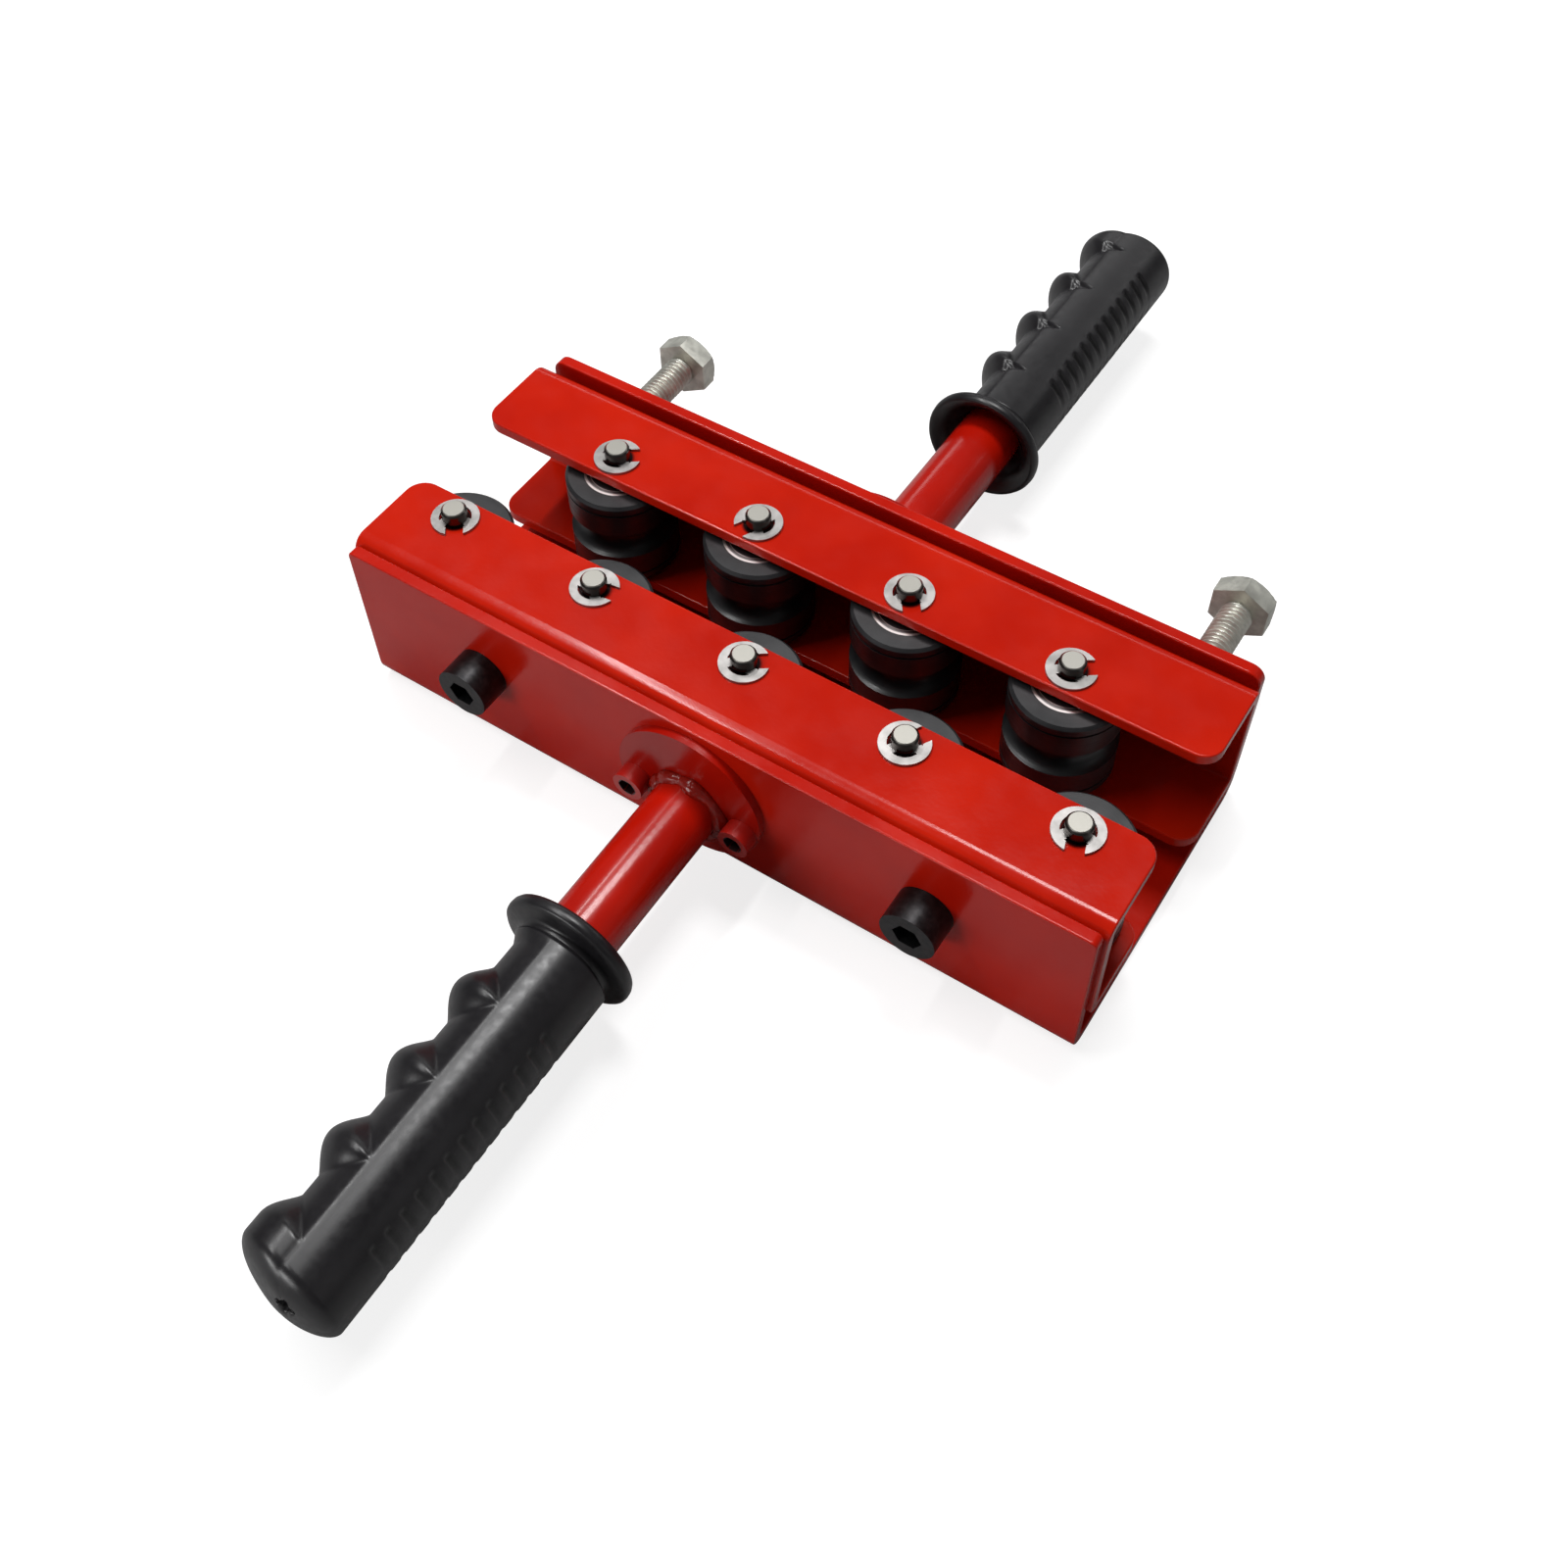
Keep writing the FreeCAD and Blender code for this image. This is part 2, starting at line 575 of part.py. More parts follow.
def front_fasteners(nut):
    """The two large screws through the front wall, and their nuts inside the carrier."""
    screw = socket_screw("carrier_screw", "thread_diameter", "carrier_screw_length", "cap_head_diameter",
                         "cap_head_height", "cap_socket", "cap_socket_depth")
    at = [along_x(s, "carrier_screw_place") for s in (-1, 1)]
    height = "carrier_screw_height"
    node(copies("carrier_screws", screw, [(x, "-" + WALL, height, TO_FRONT) for x in at]), "carrier_screws")
    inside = "(%s + sheet_thickness)" % FRONT_WEB
    node(copies("carrier_nuts", nut, [(x, inside, height, TO_REAR) for x in at]), "carrier_nuts")


def bolt(name, side):
    """An adjusting screw: hexagon head, threaded shank, and a journal that turns in the carriage."""
    x = along_x(side, BOLT_PLACE)
    shoulder = "(%s + end_play)" % REAR_WEB
    web_inside = "(%s - sheet_thickness)" % REAR_WEB
    tip = "(%s - end_play - clip_thickness - bolt_tip)" % web_inside
    neck_end = "(%s - end_play - clip_thickness)" % web_inside
    head_face = "(%s + bolt_length)" % tip
    head = hexagon(name + "_hexagon", "bolt_head_width", "bolt_head_height",
                   (x, head_face, "bolt_height"), TO_REAR)
    shank = cylinder(name + "_shank", "thread_diameter", "%s - %s" % (head_face, shoulder),
                     (x, shoulder, "bolt_height"), TO_REAR)
    journal = cylinder(name + "_journal", "pin_diameter", "%s - %s" % (shoulder, tip),
                       (x, tip, "bolt_height"), TO_REAR)
    groove_at = (x, neck_end, "bolt_height")
    groove_width = "clip_thickness + end_play"
    around = cylinder(name + "_groove_blank", "pin_diameter + 2 * screw_clearance", groove_width,
                      groove_at, TO_REAR)
    neck = cylinder(name + "_neck", "clip_neck", groove_width, groove_at, TO_REAR)
    groove = cut(name + "_groove", around, neck)
    node(cut(name, fuse(name + "_blank", head, shank, journal), groove), name)
    return groove_at


def adjusters(nut, clip):
    """Both adjusting screws with their clips, and the weld nuts outside the rear wall."""
    for name, side in (("left_bolt", -1), ("right_bolt", 1)):
        clip_at = bolt(name, side)
        node(copies(name + "_clip", clip, [clip_at + (TO_REAR,)]), name + "_clip")
    places = [(along_x(s, BOLT_PLACE), WALL, "bolt_height", TO_REAR) for s in (-1, 1)]
    node(copies("adjusting_nuts", nut, places), "adjusting_nuts")


# ---------------------------------------------------------------- handles

def grip(name, start, turn):
    """A moulded grip with a guard collar, swells for the fingers and a closed end."""
    collar = cylinder(name + "_collar_blank", "collar_diameter", "collar_thickness")
    rims = doc.addObject("Part::Fillet", name + "_collar")
    rims.Base = collar
    doc.recompute()
    edges = [i + 1 for i, edge in enumerate(collar.Shape.Edges) if edge.Closed]
    rims.Edges = [(i, value("collar_round"), value("collar_round")) for i in edges]
    length = "(grip_length - dome_length)"
    palm = cylinder(name + "_palm", "2 * palm_radius", length, ("palm_offset", "0", "0"))
    dome = doc.addObject("Part::Ellipsoid", name + "_dome")
    dome.Angle1 = 0
    bind(dome, Radius1="dome_length", Radius2="palm_radius", Radius3="palm_radius")
    place(dome, "palm_offset", "0", length)
    swells = []
    for i in range(FINGER_SWELLS):
        swell = doc.addObject("Part::Ellipsoid", "%s_swell_%d" % (name, i + 1))
        bind(swell, Radius1="finger_half", Radius2="finger_height", Radius3="finger_spread")
        along = "finger_start + %d * finger_pitch" % i
        swells.append(place(swell, "finger_height - finger_reach", "0", along))
    bore = cylinder(name + "_bore", "tube_diameter + 2 * seat_clearance", "grip_length - grip_end")
    solid = cut(name, fuse(name + "_blank", rims, palm, dome, *swells), bore)
    node(place(solid, "0", start, "handle_height", turn), name)


def handle(name, outwards, turn, grip_gap, screw_length):
    """A plate screwed to the wall, a tube welded to it and a grip pushed over the tube."""

    def out(distance):
        return "(%d * (%s))" % (outwards, distance)

    screws_x = [along_x(s, "small_spacing / 2") for s in (-1, 1)]
    wall_at = ("0", out(WALL), "handle_height")
    face_at = ("0", out(PLATE_FACE), "handle_height")
    plate_at = ("0", out(WALL), "handle_height + flange_rise")
    plate = cylinder(name + "_plate", "flange_diameter", "flange_thickness", plate_at, turn)
    holes = [cylinder(name + "_plate_hole", "small_thread + 2 * screw_clearance", "flange_thickness",
                      (x, wall_at[1], "handle_height"), turn) for x in screws_x]
    node(cut(name + "_flange", plate, *holes), name + "_flange")

    length = TUBE_LENGTH % grip_gap
    tube = cylinder(name + "_tube_outside", "tube_diameter", length, face_at, turn)
    bore = cylinder(name + "_tube_bore", "tube_diameter - 2 * tube_wall", length, face_at, turn)
    node(cut(name + "_tube", tube, bore), name + "_tube")

    bead = doc.addObject("Part::Cone", name + "_bead")
    bind(bead, Radius1="tube_diameter / 2 + weld_leg", Radius2="tube_diameter / 2 + weld_edge",
         Height="weld_leg")
    place(bead, *face_at, turn=turn)
    inside = cylinder(name + "_bead_inside", "tube_diameter", "weld_leg", face_at, turn)
    beside = [cylinder(name + "_bead_gap", "small_head_diameter + 2 * screw_clearance", "weld_leg",
                       (x, face_at[1], "handle_height"), turn) for x in screws_x]
    node(cut(name + "_weld", bead, inside, *beside), name + "_weld")

    screw = socket_screw(name + "_screw", "small_thread", screw_length, "small_head_diameter",
                         "small_head_height", "small_socket", "small_socket_depth")
    places = [(x, face_at[1], "handle_height", turn) for x in screws_x]
    node(copies(name + "_screws", screw, places), name + "_screws")
    grip(name + "_grip", out("%s + %s" % (PLATE_FACE, grip_gap)), turn)


# ---------------------------------------------------------------- the assembly

def build():
    outer_channel()
    front_carrier()
    rear_carriage()
    nut = nut_piece()
    front_fasteners(nut)
    clip = clip_piece()
    shared = (
        pin_piece(), clip,
        turned("washer", ring_section(PIN_HOLE, "washer_diameter", "washer_thickness")),
        race("inner_ring", PIN_HOLE, "inner_ring_diameter"),
        turned("spacer", ring_section(PIN_HOLE, "spacer_diameter",
                                      "(%s - 2 * bearing_width)" % ROLLER_HEIGHT)),
    )
    outer_ring = race("outer_ring", "outer_ring_bore", "bearing_diameter")
    shield = shield_piece()
    balls = ball_set()
    rows = (
        ("front", FRONT_ROLLERS, FRONT_ROW, FRONT_CLIP_TURNS),
        ("rear", REAR_ROLLERS, REAR_ROW, REAR_CLIP_TURNS),
    )
    for row_name, rollers, row, clip_turns in rows:
        row_fittings(row_name, rollers, row, clip_turns, *shared)
        for count, number in enumerate(rollers, start=1):
            name = "%s_roller_%d" % (row_name, count)
            roller_with_bearings(name, number, row, outer_ring, shield, balls)
    adjusters(nut, clip)
    handle("front_handle", -1, TO_FRONT, "front_grip_gap", "front_small_length")
    handle("rear_handle", 1, TO_REAR, "rear_grip_gap", "rear_small_length")
    doc.recompute()


def check():
    """Stops if anything failed to build, or if a hole or groove took nothing away."""
    for thing in doc.Objects:
        if "Invalid" in thing.State or "Error" in thing.State:
            raise RuntimeError("%s: %s" % (thing.Name, thing.State))
        if thing.TypeId in ("PartDesign::Pocket", "PartDesign::Groove"):
            if thing.Shape.Volume >= thing.BaseFeature.Shape.Volume:
                raise RuntimeError(thing.Name + " cuts nothing")
    for thing in nodes:
        if thing.Shape.isNull() or not thing.Shape.isValid():
            raise RuntimeError(thing.Label + " has no valid shape")


def write():
    os.makedirs("parts", exist_ok=True)
    for thing in nodes:
        thing.Shape.exportStep("parts/%s.step" % thing.Label)
        print("%-32s %3d solids %10.1f mm3" % (thing.Label, len(thing.Shape.Solids), thing.Shape.Volume))


build()
check()
write()
print(len(nodes), "nodes")
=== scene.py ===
"""The looks of a hand held wire and tube straightener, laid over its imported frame."""

import math

import bpy
import numpy as np
from mathutils import Matrix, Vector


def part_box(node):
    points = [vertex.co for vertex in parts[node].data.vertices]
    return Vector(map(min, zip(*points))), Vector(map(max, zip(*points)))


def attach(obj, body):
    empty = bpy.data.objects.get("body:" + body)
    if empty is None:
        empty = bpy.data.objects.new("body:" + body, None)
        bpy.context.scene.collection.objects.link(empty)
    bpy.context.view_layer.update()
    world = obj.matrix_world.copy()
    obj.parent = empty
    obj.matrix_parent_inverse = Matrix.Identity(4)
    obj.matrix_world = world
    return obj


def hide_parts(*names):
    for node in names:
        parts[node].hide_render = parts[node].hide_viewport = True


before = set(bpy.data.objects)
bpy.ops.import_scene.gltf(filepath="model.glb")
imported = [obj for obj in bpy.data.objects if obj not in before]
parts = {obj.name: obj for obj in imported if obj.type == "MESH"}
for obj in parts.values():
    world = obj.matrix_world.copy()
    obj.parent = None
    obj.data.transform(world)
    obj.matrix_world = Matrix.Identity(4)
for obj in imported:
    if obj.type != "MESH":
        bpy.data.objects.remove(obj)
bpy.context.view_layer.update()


# ---------------------------------------------------------------------------
# The room: a white floor that keeps the tool's soft shadow, pale air, a softbox
# overhead for the round handles, a long strip beside it for the folded edges, and
# weak lights low in front, at the side and behind.

def lamp(name, place, aim, size, power):
    """A rectangular lamp at a place, turned to face the point it is aimed at."""
    light = bpy.data.lights.new(name, "AREA")
    light.shape = "RECTANGLE"
    light.size, light.size_y = size
    light.energy = power
    holder = bpy.data.objects.new(name, light)
    bpy.context.collection.objects.link(holder)
    way = np.array(place, float) - np.array(aim, float)
    way /= np.linalg.norm(way)
    side = np.cross((0.0, 0.0, 1.0), way)
    side /= np.linalg.norm(side)
    turned = np.array([side, np.cross(way, side), way]).T
    holder.matrix_world = Matrix([[*row, at] for row, at in zip(turned, place)] + [[0, 0, 0, 1]])


lamp("softbox", (-0.05, 0.30, 1.20), (-0.05, 0.0, 0.02), (0.36, 0.24), 8.0)
lamp("bend_strip", (-0.55, -0.05, 1.20), (-0.10, 0.0, 0.02), (1.10, 0.05), 9.5)
lamp("side_light", (1.05, 0.05, 0.50), (0.0, 0.0, 0.02), (0.30, 0.60), 0.2)
lamp("front_light", (-0.35, -1.05, 0.26), (0.0, 0.0, 0.02), (0.50, 0.25), 3.8)
lamp("rear_light", (-0.10, 1.15, 0.72), (0.0, 0.15, 0.02), (2.20, 0.16), 3.2)

air_strength = 0.12
world = bpy.data.worlds.new("pale_air")
world.use_nodes = True
bpy.context.scene.world = world
air = world.node_tree
air_light = air.nodes["Background"]
air_light.inputs["Color"].default_value = (1.0, 1.0, 1.0, 1.0)
air_light.inputs["Strength"].default_value = air_strength
air_seen = air.nodes.new("ShaderNodeBackground")
air_seen.inputs["Color"].default_value = (1.0, 1.0, 1.0, 1.0)
air_seen.inputs["Strength"].default_value = 1.0
air_rays = air.nodes.new("ShaderNodeLightPath")
air_mix = air.nodes.new("ShaderNodeMixShader")
air.links.new(air_rays.outputs["Is Camera Ray"], air_mix.inputs["Fac"])
air.links.new(air_light.outputs["Background"], air_mix.inputs[1])
air.links.new(air_seen.outputs["Background"], air_mix.inputs[2])
air.links.new(air_mix.outputs["Shader"], air.nodes["World Output"].inputs["Surface"])

floor_half = 3.0
floor_drop = 0.0002
floor_grey = 0.35
floor_lift = 0.80
floor_mesh = bpy.data.meshes.new("floor")
floor_corners = [(x * floor_half, y * floor_half, -floor_drop)
                 for x, y in ((-1, -1), (1, -1), (1, 1), (-1, 1))]
floor_mesh.from_pydata(floor_corners, [], [(0, 1, 2, 3)])
floor = bpy.data.objects.new("floor", floor_mesh)
bpy.context.collection.objects.link(floor)
white_floor = bpy.data.materials.new("white_floor")
white_floor.use_nodes = True
ground = white_floor.node_tree
ground.nodes.remove(ground.nodes["Principled BSDF"])
ground_paint = ground.nodes.new("ShaderNodeBsdfDiffuse")
ground_paint.inputs["Color"].default_value = (floor_grey, floor_grey, floor_grey, 1.0)
ground_glow = ground.nodes.new("ShaderNodeEmission")
ground_rays = ground.nodes.new("ShaderNodeLightPath")
ground_lift = ground.nodes.new("ShaderNodeMath")
ground_lift.operation = "MULTIPLY"
ground_lift.inputs[1].default_value = floor_lift
ground_sum = ground.nodes.new("ShaderNodeAddShader")
ground.links.new(ground_rays.outputs["Is Camera Ray"], ground_lift.inputs[0])
ground.links.new(ground_lift.outputs["Value"], ground_glow.inputs["Strength"])
ground.links.new(ground_paint.outputs["BSDF"], ground_sum.inputs[0])
ground.links.new(ground_glow.outputs["Emission"], ground_sum.inputs[1])
ground.links.new(ground_sum.outputs["Shader"], ground.nodes["Material Output"].inputs["Surface"])
floor_mesh.materials.append(white_floor)

lens = bpy.data.cameras.new("camera")
lens.sensor_width = 36.0
lens.lens = 40.763
lens.shift_x = 0.00833
lens.shift_y = -0.06887
lens.clip_start = 0.01
camera = bpy.data.objects.new("camera", lens)
bpy.context.collection.objects.link(camera)
camera.location = (0.14045, -0.21233, 0.34216)
camera.rotation_euler = tuple(math.radians(turn) for turn in (38.3598, 1.0945, 33.2590))
bpy.context.scene.camera = camera
bpy.context.scene.view_settings.view_transform = "Standard"


# ---------------------------------------------------------------------------
# The outer channel is the body of the tool: one length of 3 mm steel sheet,
# folded up at both long edges, powder coated red all over with a light orange
# peel in the gloss.

def new_finish(name, **sockets):
    """A finish whose plain values sit on the shader's own sockets."""
    finish = bpy.data.materials.new(name)
    finish.use_nodes = True
    shader = finish.node_tree.nodes["Principled BSDF"]
    for socket, amount in sockets.items():
        shader.inputs[socket.replace("_", " ")].default_value = amount
    return finish, shader


def grain(finish, size, detail=2.0, stretch=(1.0, 1.0, 1.0)):
    """Noise of one grain size in metres at the piece's own place, stretched along its axes."""
    tree = finish.node_tree
    place = tree.nodes.new("ShaderNodeTexCoord")
    fit = tree.nodes.new("ShaderNodeMapping")
    fit.inputs["Scale"].default_value = tuple(s / size for s in stretch)
    noise = tree.nodes.new("ShaderNodeTexNoise")
    noise.inputs["Scale"].default_value = 1.0
    noise.inputs["Detail"].default_value = detail
    tree.links.new(place.outputs["Object"], fit.inputs["Vector"])
    tree.links.new(fit.outputs["Vector"], noise.inputs["Vector"])
    return noise.outputs["Fac"]


def span(finish, source, low, high, near=0.35, far=0.65):
    """Carries a pattern from its own near to far onto the range low to high."""
    ranged = finish.node_tree.nodes.new("ShaderNodeMapRange")
    ranged.inputs["From Min"].default_value = near
    ranged.inputs["From Max"].default_value = far
    ranged.inputs["To Min"].default_value = low
    ranged.inputs["To Max"].default_value = high
    finish.node_tree.links.new(source, ranged.inputs["Value"])
    return ranged.outputs["Result"]


def tint(finish, shader, source, first, second):
    """Colours the piece from one tone to another as the pattern goes from nought to one."""
    mix = finish.node_tree.nodes.new("ShaderNodeMix")
    mix.data_type = "RGBA"
    mix.inputs["A"].default_value = (*first, 1.0)
    mix.inputs["B"].default_value = (*second, 1.0)
    finish.node_tree.links.new(source, mix.inputs["Factor"])
    finish.node_tree.links.new(mix.outputs["Result"], shader.inputs["Base Color"])


def clouds(finish, shader, size, detail, first, second):
    """Two close tones of one colour in clouds of a size in metres."""
    tint(finish, shader, span(finish, grain(finish, size, detail), 0.0, 1.0), first, second)


def satin(finish, shader, source, low, high, near=0.35, far=0.65):
    """Makes the gloss duller from low to high as the pattern rises from near to far."""
    ranged = span(finish, source, low, high, near, far)
    finish.node_tree.links.new(ranged, shader.inputs["Roughness"])


def relief(finish, shader, source, depth, strength=1.0):
    """Raises the surface by the pattern, depth metres at most, in the light alone."""
    bump = finish.node_tree.nodes.new("ShaderNodeBump")
    bump.inputs["Distance"].default_value = depth
    bump.inputs["Strength"].default_value = strength
    finish.node_tree.links.new(source, bump.inputs["Height"])
    finish.node_tree.links.new(bump.outputs["Normal"], shader.inputs["Normal"])


def wear(finish, *node_names):
    """Gives every slot of the named nodes this finish."""
    for node_name in node_names:
        for piece_slot in parts[node_name].material_slots:
            piece_slot.material = finish


def powder_coat(name, deep, bright, gloss, coat,
                peel=0.0011, detail=2.0, depth=0.00004, strength=0.6):
    """Red powder coat: two close reds in slow clouds, a fine peel and a thin clear gloss."""
    cloud_size, dull_size = 0.030, 0.008
    finish, shader = new_finish(name, Coat_Weight=coat, Coat_Roughness=0.12,
                                Specular_IOR_Level=gloss)
    clouds(finish, shader, cloud_size, 3.0, deep, bright)
    satin(finish, shader, grain(finish, dull_size), 0.17, 0.25)
    relief(finish, shader, grain(finish, peel, detail), depth, strength)
    return finish


channel_paint = powder_coat("red_channel_paint", (0.41, 0.0060, 0.0010), (0.50, 0.0095, 0.0015),
                            gloss=0.18, coat=0.20)
wear(channel_paint, "outer_channel")


# ---------------------------------------------------------------------------
# The two carriers are the same folded sheet and the same paint. The front one
# is screwed inside the front wall, the rear one slides between the flanges.
# Painted shade makes the paint nearly black in the narrow grooves beside each pin.

def own_place(finish):
    """The piece's own X, Y and Z at each point, in metres."""
    tree = finish.node_tree
    place = tree.nodes.new("ShaderNodeTexCoord")
    split = tree.nodes.new("ShaderNodeSeparateXYZ")
    tree.links.new(place.outputs["Object"], split.inputs["Vector"])
    return split.outputs


def reckon(finish, operation, *terms):
    """One step of arithmetic on patterns and plain numbers."""
    step = finish.node_tree.nodes.new("ShaderNodeMath")
    step.operation = operation
    for socket, term in zip(step.inputs, terms):
        if isinstance(term, bpy.types.NodeSocket):
            finish.node_tree.links.new(term, socket)
        else:
            socket.default_value = term
    return step.outputs["Value"]


def lay_over(finish, shader, source, tone):
    """Lays a plain tone over the shader's colour as the pattern goes from nought to one."""
    tree = finish.node_tree
    mix = tree.nodes.new("ShaderNodeMix")
    mix.data_type = "RGBA"
    mix.inputs["B"].default_value = (*tone, 1.0)
    tree.links.new(shader.inputs["Base Color"].links[0].from_socket, mix.inputs["A"])
    tree.links.new(source, mix.inputs["Factor"])
    tree.links.new(mix.outputs["Result"], shader.inputs["Base Color"])


def pin_painted_shade(finish, first_roller, last_roller, spaces):
    """Paints shade beside each pin of an even row: the paint goes nearly black out to the groove's
    edge. The distance along the row is folded at half the pitch, so that one circle serves all the
    pins."""
    dark_to, clear_from = 0.0034, 0.0041
    # A near black tone, painted on as shade beside the pins.
    painted_shade_black = (0.012, 0.001, 0.001)
    first, last = (np.mean(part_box(name), axis=0) for name in (first_roller, last_roller))
    pitch = (last[0] - first[0]) / spaces
    place = own_place(finish)
    along = reckon(finish, "PINGPONG", reckon(finish, "SUBTRACT", place["X"], first[0]), pitch / 2)
    across = reckon(finish, "SUBTRACT", place["Y"], first[1])
    squares = [reckon(finish, "MULTIPLY", side, side) for side in (along, across)]
    from_pin = reckon(finish, "SQRT", reckon(finish, "ADD", *squares))
    groove = span(finish, from_pin, 1.0, 0.0, dark_to, clear_from)
    lay_over(finish, finish.node_tree.nodes["Principled BSDF"], groove, painted_shade_black)


for node_name, finish_name, row, count in (("front_carrier", "red_front_carrier_paint", "front", 5),
                                           ("rear_carriage", "red_carriage_paint", "rear", 4)):
    carrier_paint = powder_coat(finish_name, (0.43, 0.0075, 0.0010), (0.52, 0.0120, 0.0015),
                                gloss=0.15, coat=0.20)
    pin_painted_shade(carrier_paint, row + "_roller_1", row + "_roller_%d" % count, count - 1)
    wear(carrier_paint, node_name)


# ---------------------------------------------------------------------------
# Each handle is a round plate with a tube welded to its face, painted red with
# the bead. The hand laid bead is a ring of small overlapping lumps.

def sheet_mesh(name, grid, closed_ends, flip=False):
    """Skins a grid of points whose rows run once round the piece. Where its ends are closed, the
    first and the last row are joined to their own middles."""
    rows, around, _ = grid.shape
    points = grid.reshape(-1, 3)
    first = np.arange(rows - 1)[:, None] * around
    here = np.arange(around)
    after = (here + 1) % around
    quads = np.stack([first + here, first + after, first + around + after, first + around + here],
                     axis=-1)
    faces = quads.reshape(-1, 4).tolist()
    if closed_ends:
        points = np.vstack([points, grid[0].mean(axis=0), grid[-1].mean(axis=0)])
        top, tail = rows * around, rows * around + 1
        faces += np.stack([np.full(around, top), after, here], axis=-1).tolist()
        last = (rows - 1) * around
        faces += np.stack([np.full(around, tail), last + here, last + after], axis=-1).tolist()
    if flip:
        faces = [face[::-1] for face in faces]
    mesh = bpy.data.meshes.new(name)
    mesh.from_pydata(points.tolist(), [], faces)
    mesh.polygons.foreach_set("use_smooth", np.ones(len(faces), dtype=bool))
    mesh.update()
    piece = bpy.data.objects.new(name, mesh)
    bpy.context.collection.objects.link(piece)
    return piece


def weld_bead(name, node, outward):
    """A ring bead in the corner of tube and plate: a quarter round section, a little squared, whose
    size is a share of the solid bead's leg. The share swells and sinks in uneven lumps, each a half
    wave round the ring, with a slower wander."""
    points_around, points_across = 192, 12
    mean_share, lump_share, wander_share = 0.60, 0.27, 0.12
    squareness = 0.8
    low, high = (np.array(corner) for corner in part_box(node))
    middle = (low + high) / 2
    leg = high[1] - low[1]
    bore = (high[0] - low[0]) / 2 - leg
    turn = np.linspace(0.0, 2 * np.pi, points_around, endpoint=False)
    lumps = np.abs(np.sin(turn * 4 + 1.5 * np.sin(2 * turn + 0.7) + 0.9 * np.sin(3 * turn + 2.0)))
    wander = wander_share * np.sin(2 * turn + 1.0) * np.cos(3 * turn)
    swell = leg * (mean_share + lump_share * lumps + wander)
    slope = np.linspace(0.0, np.pi / 2, points_across)[:, None]
    ring_out = np.vstack([np.full_like(turn, bore), bore + swell * np.sin(slope) ** squareness])
    ring_rise = np.vstack([np.zeros_like(turn), swell * np.cos(slope) ** squareness])
    foot = low[1] if outward > 0 else high[1]
    grid = np.stack([middle[0] + ring_out * np.cos(turn), foot + outward * ring_rise,
                     middle[2] + ring_out * np.sin(turn)], axis=-1)
    return sheet_mesh(name, np.concatenate([grid, grid[:1]]), False, flip=outward < 0)


handle_paint = powder_coat("red_handle_paint", (0.36, 0.0045, 0.0008), (0.46, 0.0075, 0.0012),
                           gloss=0.32, coat=0.14)
# The plate's and the bead's reds are darker copies of the tube's paint, though one coat covers all
# three: painted shade on the plate beneath the tube and in the bead's corner.
shaded_flange_paint = powder_coat("red_flange_paint_shaded", (0.27, 0.0030, 0.0006), (0.36, 0.0052, 0.0010),
                           gloss=0.30, coat=0.16)
shaded_weld_paint = powder_coat("red_weld_paint_shaded", (0.13, 0.0030, 0.0008), (0.32, 0.0070, 0.0016),
                         gloss=0.40, coat=0.10, peel=0.0020, detail=3.0, depth=0.0005, strength=1.0)
wear(handle_paint, "front_handle_tube", "rear_handle_tube")
wear(shaded_flange_paint, "front_handle_flange", "rear_handle_flange")
for side, outward in (("front", -1), ("rear", 1)):
    bead = weld_bead(side + "_bead", side + "_handle_weld", outward)
    bead.data.materials.append(shaded_weld_paint)
    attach(bead, "frame")
    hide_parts(side + "_handle_weld")


# ---------------------------------------------------------------------------
# Two M5 socket screws hold each flange plate. They are painted over with the
# handle, and painted shade makes the colour near black inside the hexagon sockets.

def off_axis(finish, at, along):
    """Distance from an axis through a place, parallel to X, Y or Z, in metres."""
    tree = finish.node_tree
    place = tree.nodes.new("ShaderNodeTexCoord")
    fit = tree.nodes.new("ShaderNodeMapping")
    keep = tuple(0.0 if axis == along else 1.0 for axis in "XYZ")
    fit.inputs["Scale"].default_value = keep
    fit.inputs["Location"].default_value = tuple(-a * k for a, k in zip(at, keep))
    length = tree.nodes.new("ShaderNodeVectorMath")
    length.operation = "LENGTH"
    tree.links.new(place.outputs["Object"], fit.inputs["Vector"])
    tree.links.new(fit.outputs["Vector"], length.inputs[0])
    return length.outputs["Value"]


screw_spacing = 0.028
handle_height = 0.0205
socket_reach, dark_share = 0.0024, 0.92
for side in ("front", "rear"):
    screw_paint, screw_shader = new_finish(side + "_flange_screw_paint", Roughness=0.34,
                                           Coat_Weight=0.3, Coat_Roughness=0.15)
    left = off_axis(screw_paint, (-screw_spacing / 2, 0.0, handle_height), "Y")
    right = off_axis(screw_paint, (screw_spacing / 2, 0.0, handle_height), "Y")
    nearer = reckon(screw_paint, "MINIMUM", left, right)
    # Painted shade: the colour goes near black within the socket's reach of each screw's axis.
    hollow = span(screw_paint, nearer, 0.0, 1.0, socket_reach * dark_share, socket_reach)
    tint(screw_paint, screw_shader, hollow, (0.020, 0.004, 0.004), (0.40, 0.0085, 0.0045))
    relief(screw_paint, screw_shader, grain(screw_paint, 0.0009), 0.00003, 0.5)
    wear(screw_paint, side + "_handle_screws")


# ---------------------------------------------------------------------------
# Two M8 socket head screws pull the front carrier to the wall. They are black
# oxide steel, with nuts of the same inside the carrier.

black_oxide, oxide_shader = new_finish("black_oxide_steel", Metallic=0.75, Roughness=0.36)
clouds(black_oxide, oxide_shader, 0.0016, 3.0, (0.011, 0.011, 0.012), (0.026, 0.025, 0.026))
relief(black_oxide, oxide_shader, grain(black_oxide, 0.0005, 3.0), 0.00002, 0.5)
wear(black_oxide, "carrier_screws", "carrier_nuts")
